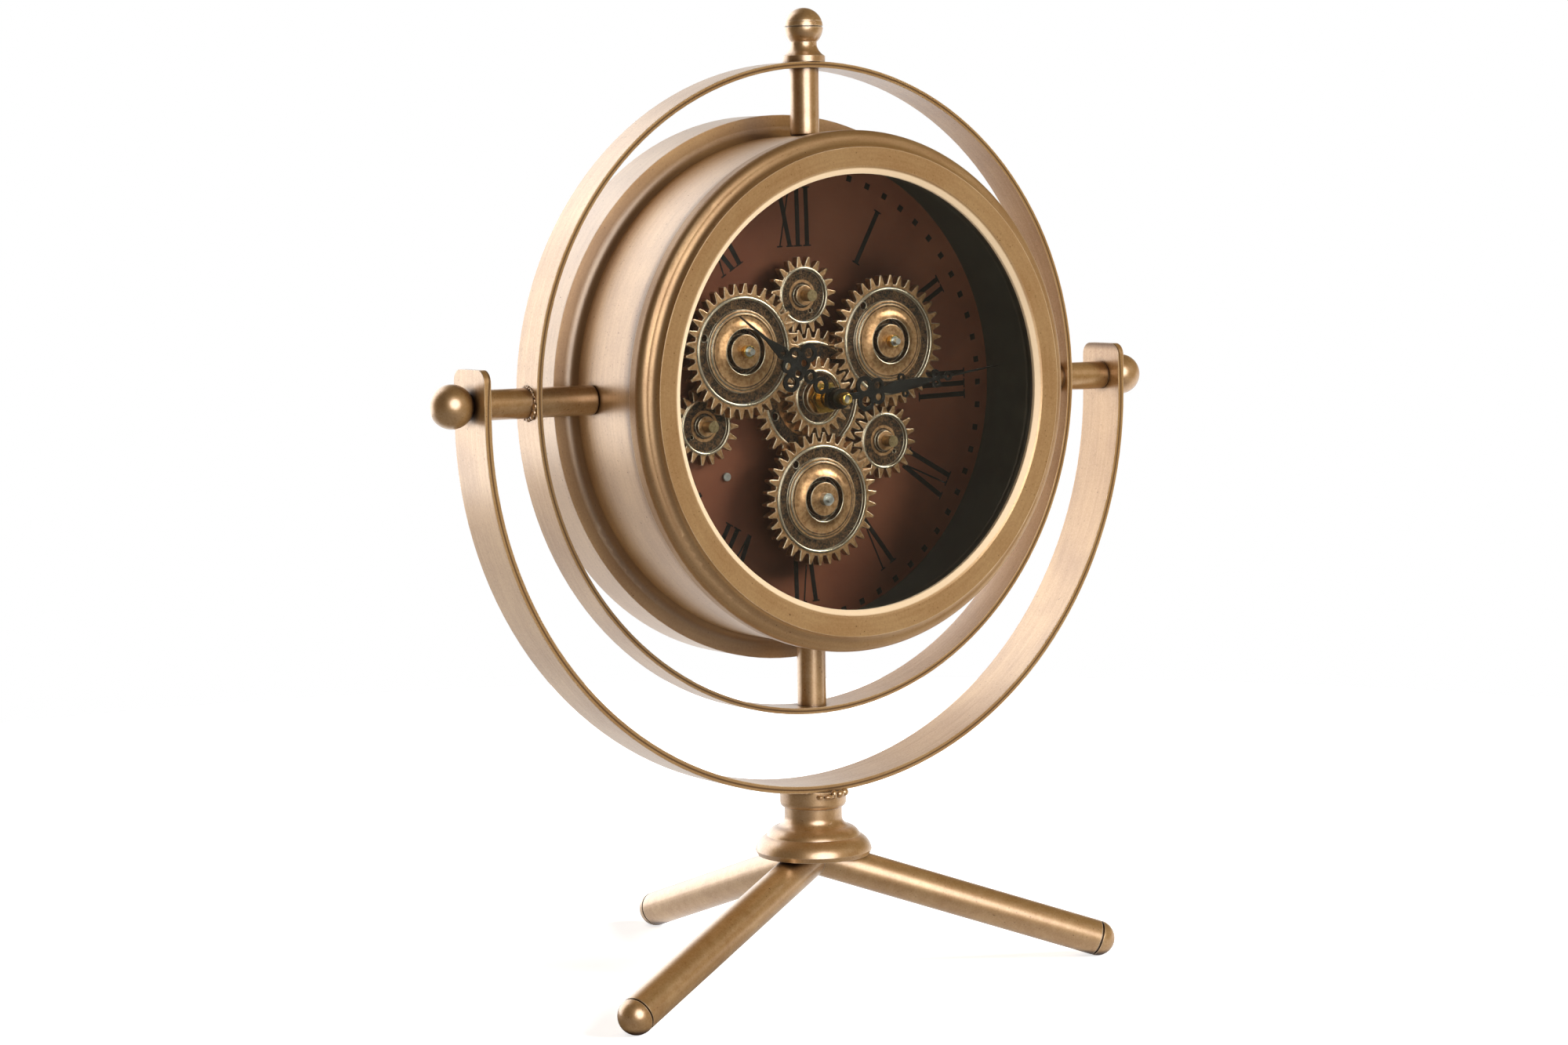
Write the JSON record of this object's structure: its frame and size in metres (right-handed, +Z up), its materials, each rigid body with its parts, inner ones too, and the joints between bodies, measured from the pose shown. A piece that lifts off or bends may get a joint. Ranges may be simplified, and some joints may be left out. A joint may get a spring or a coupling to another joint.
{
  "type": "table clock",
  "caption": "Round table clock with show gears behind glass, in a ring that tilts between the arms of a tripod yoke.",
  "frame": {"origin": "on the ground under the axis of the column", "axes": "+Z up along the column, +X along the tilt axis to the right as seen from the front, the dial faces -Y"},
  "size_m": [0.3522, 0.1838, 0.401],
  "materials": {
    "antique_gold": "antique gold paint, satin, rubbed darker at the edges",
    "gear_bronze": "antique bronze coating with dark patina in the recesses",
    "brass": "turned brass, bright",
    "steel": "zinc-plated steel",
    "hand_black": "satin black paint",
    "dial_brown": "matt brown paint with printed figures",
    "glass": "clear flat glass",
    "rubber_black": "matt black rubber",
    "plastic_black": "moulded black plastic",
    "back_paint": "dark brown paint, matt",
    "cell_wrap": "plain wrapped cell, no print"
  },
  "bodies": {
    "stand": {"column": "antique_gold", "leg_rear": "antique_gold", "leg_front_left": "antique_gold", "leg_front_right": "antique_gold", "foot_cap_rear": "antique_gold", "foot_cap_front_left": "antique_gold", "foot_cap_front_right": "antique_gold", "yoke": "antique_gold"},
    "head": {"gimbal_ring": "antique_gold", "side_post_right": "antique_gold", "side_post_left": "antique_gold", "top_post": "antique_gold", "bottom_post": "antique_gold", "post_screws": "steel", "pivot_tube_right": "antique_gold", "pivot_tube_left": "antique_gold", "ball_knob_right": "antique_gold", "ball_knob_left": "antique_gold", "pivot_studs": "steel", "finial": "antique_gold", "case_drum": "antique_gold", "case_band": "antique_gold", "bezel": "antique_gold", "glass": "glass", "glass_gasket": "rubber_black", "dial_liner": "plastic_black", "dial_plate": "dial_brown", "dial_tabs": "steel", "dial_screws": "steel", "large_gear_pins": "steel", "large_gear_collets": "brass", "small_gear_pins": "steel", "small_gear_caps": "brass", "gear_motor": "plastic_black", "movement_case": "plastic_black", "movement_bush": "brass", "bush_nuts": "brass", "battery_box": "plastic_black", "cells": "cell_wrap", "cell_contacts": "steel", "motor_leads": "rubber_black", "back_cover": "back_paint", "cover_screws": "steel", "switch_body": "plastic_black"},
    "minute": {"minute_hand": "hand_black", "minute_arbor": "steel", "cap_nut": "brass"},
    "hour": {"hour_hand": "hand_black", "hour_tube": "brass"},
    "centre_train": {"centre_gear": "gear_bronze"},
    "left_train": {"left_large_gear": "gear_bronze", "left_pinion": "gear_bronze"},
    "right_train": {"right_large_gear": "gear_bronze"},
    "bottom_train": {"bottom_large_gear": "gear_bronze", "drive_shaft": "steel"},
    "top_small": {"top_small_gear": "gear_bronze"},
    "right_small": {"right_small_gear": "gear_bronze"},
    "left_small": {"left_small_gear": "gear_bronze"},
    "setting": {"set_knob": "plastic_black"},
    "switch": {"switch_slider": "plastic_black"}
  },
  "joints": [
    {"name": "gimbal_tilt", "type": "hinge", "parent": "stand", "child": "head", "pos_m": [0, 0, 0.245], "axis": [1, 0, 0], "continuous": true},
    {"name": "minute_spin", "type": "hinge", "parent": "head", "child": "minute", "pos_m": [0, 0, 0.242], "axis": [0, 1, 0], "continuous": true},
    {"name": "hour_spin", "type": "hinge", "parent": "head", "child": "hour", "pos_m": [0, 0, 0.242], "axis": [0, 1, 0], "continuous": true},
    {"name": "setting_spin", "type": "hinge", "parent": "head", "child": "setting", "pos_m": [-0.01212, 0, 0.249], "axis": [0, 1, 0], "continuous": true},
    {"name": "centre_train_spin", "type": "hinge", "parent": "head", "child": "centre_train", "pos_m": [0, 0, 0.242], "axis": [0, 1, 0], "continuous": true},
    {"name": "left_train_spin", "type": "hinge", "parent": "head", "child": "left_train", "pos_m": [-0.03691, 0, 0.26204], "axis": [0, 1, 0], "continuous": true},
    {"name": "right_train_spin", "type": "hinge", "parent": "head", "child": "right_train", "pos_m": [0.03581, 0, 0.26394], "axis": [0, 1, 0], "continuous": true},
    {"name": "bottom_train_spin", "type": "hinge", "parent": "head", "child": "bottom_train", "pos_m": [0.0011, 0, 0.20001], "axis": [0, 1, 0], "continuous": true},
    {"name": "top_small_spin", "type": "hinge", "parent": "head", "child": "top_small", "pos_m": [-0.00344, 0, 0.28386], "axis": [0, 1, 0], "continuous": true},
    {"name": "right_small_spin", "type": "hinge", "parent": "head", "child": "right_small", "pos_m": [0.03698, 0, 0.22209], "axis": [0, 1, 0], "continuous": true},
    {"name": "left_small_spin", "type": "hinge", "parent": "head", "child": "left_small", "pos_m": [-0.04936, 0, 0.23184], "axis": [0, 1, 0], "continuous": true},
    {"name": "switch_slide", "type": "slide", "parent": "head", "child": "switch", "axis": [0, 0, 1], "range_m": [0, 0.004]}
  ],
  "couplings": [
    {"joint": "hour_spin", "follows": "minute_spin", "ratio": 0.083333},
    {"joint": "setting_spin", "follows": "minute_spin", "ratio": -0.33333},
    {"joint": "left_train_spin", "follows": "centre_train_spin", "ratio": -0.58824},
    {"joint": "right_train_spin", "follows": "centre_train_spin", "ratio": -0.58824},
    {"joint": "bottom_train_spin", "follows": "centre_train_spin", "ratio": -0.58824},
    {"joint": "top_small_spin", "follows": "centre_train_spin", "ratio": -1.8421},
    {"joint": "right_small_spin", "follows": "centre_train_spin", "ratio": -1.8421},
    {"joint": "left_small_spin", "follows": "centre_train_spin", "ratio": 0.71207}
  ]
}
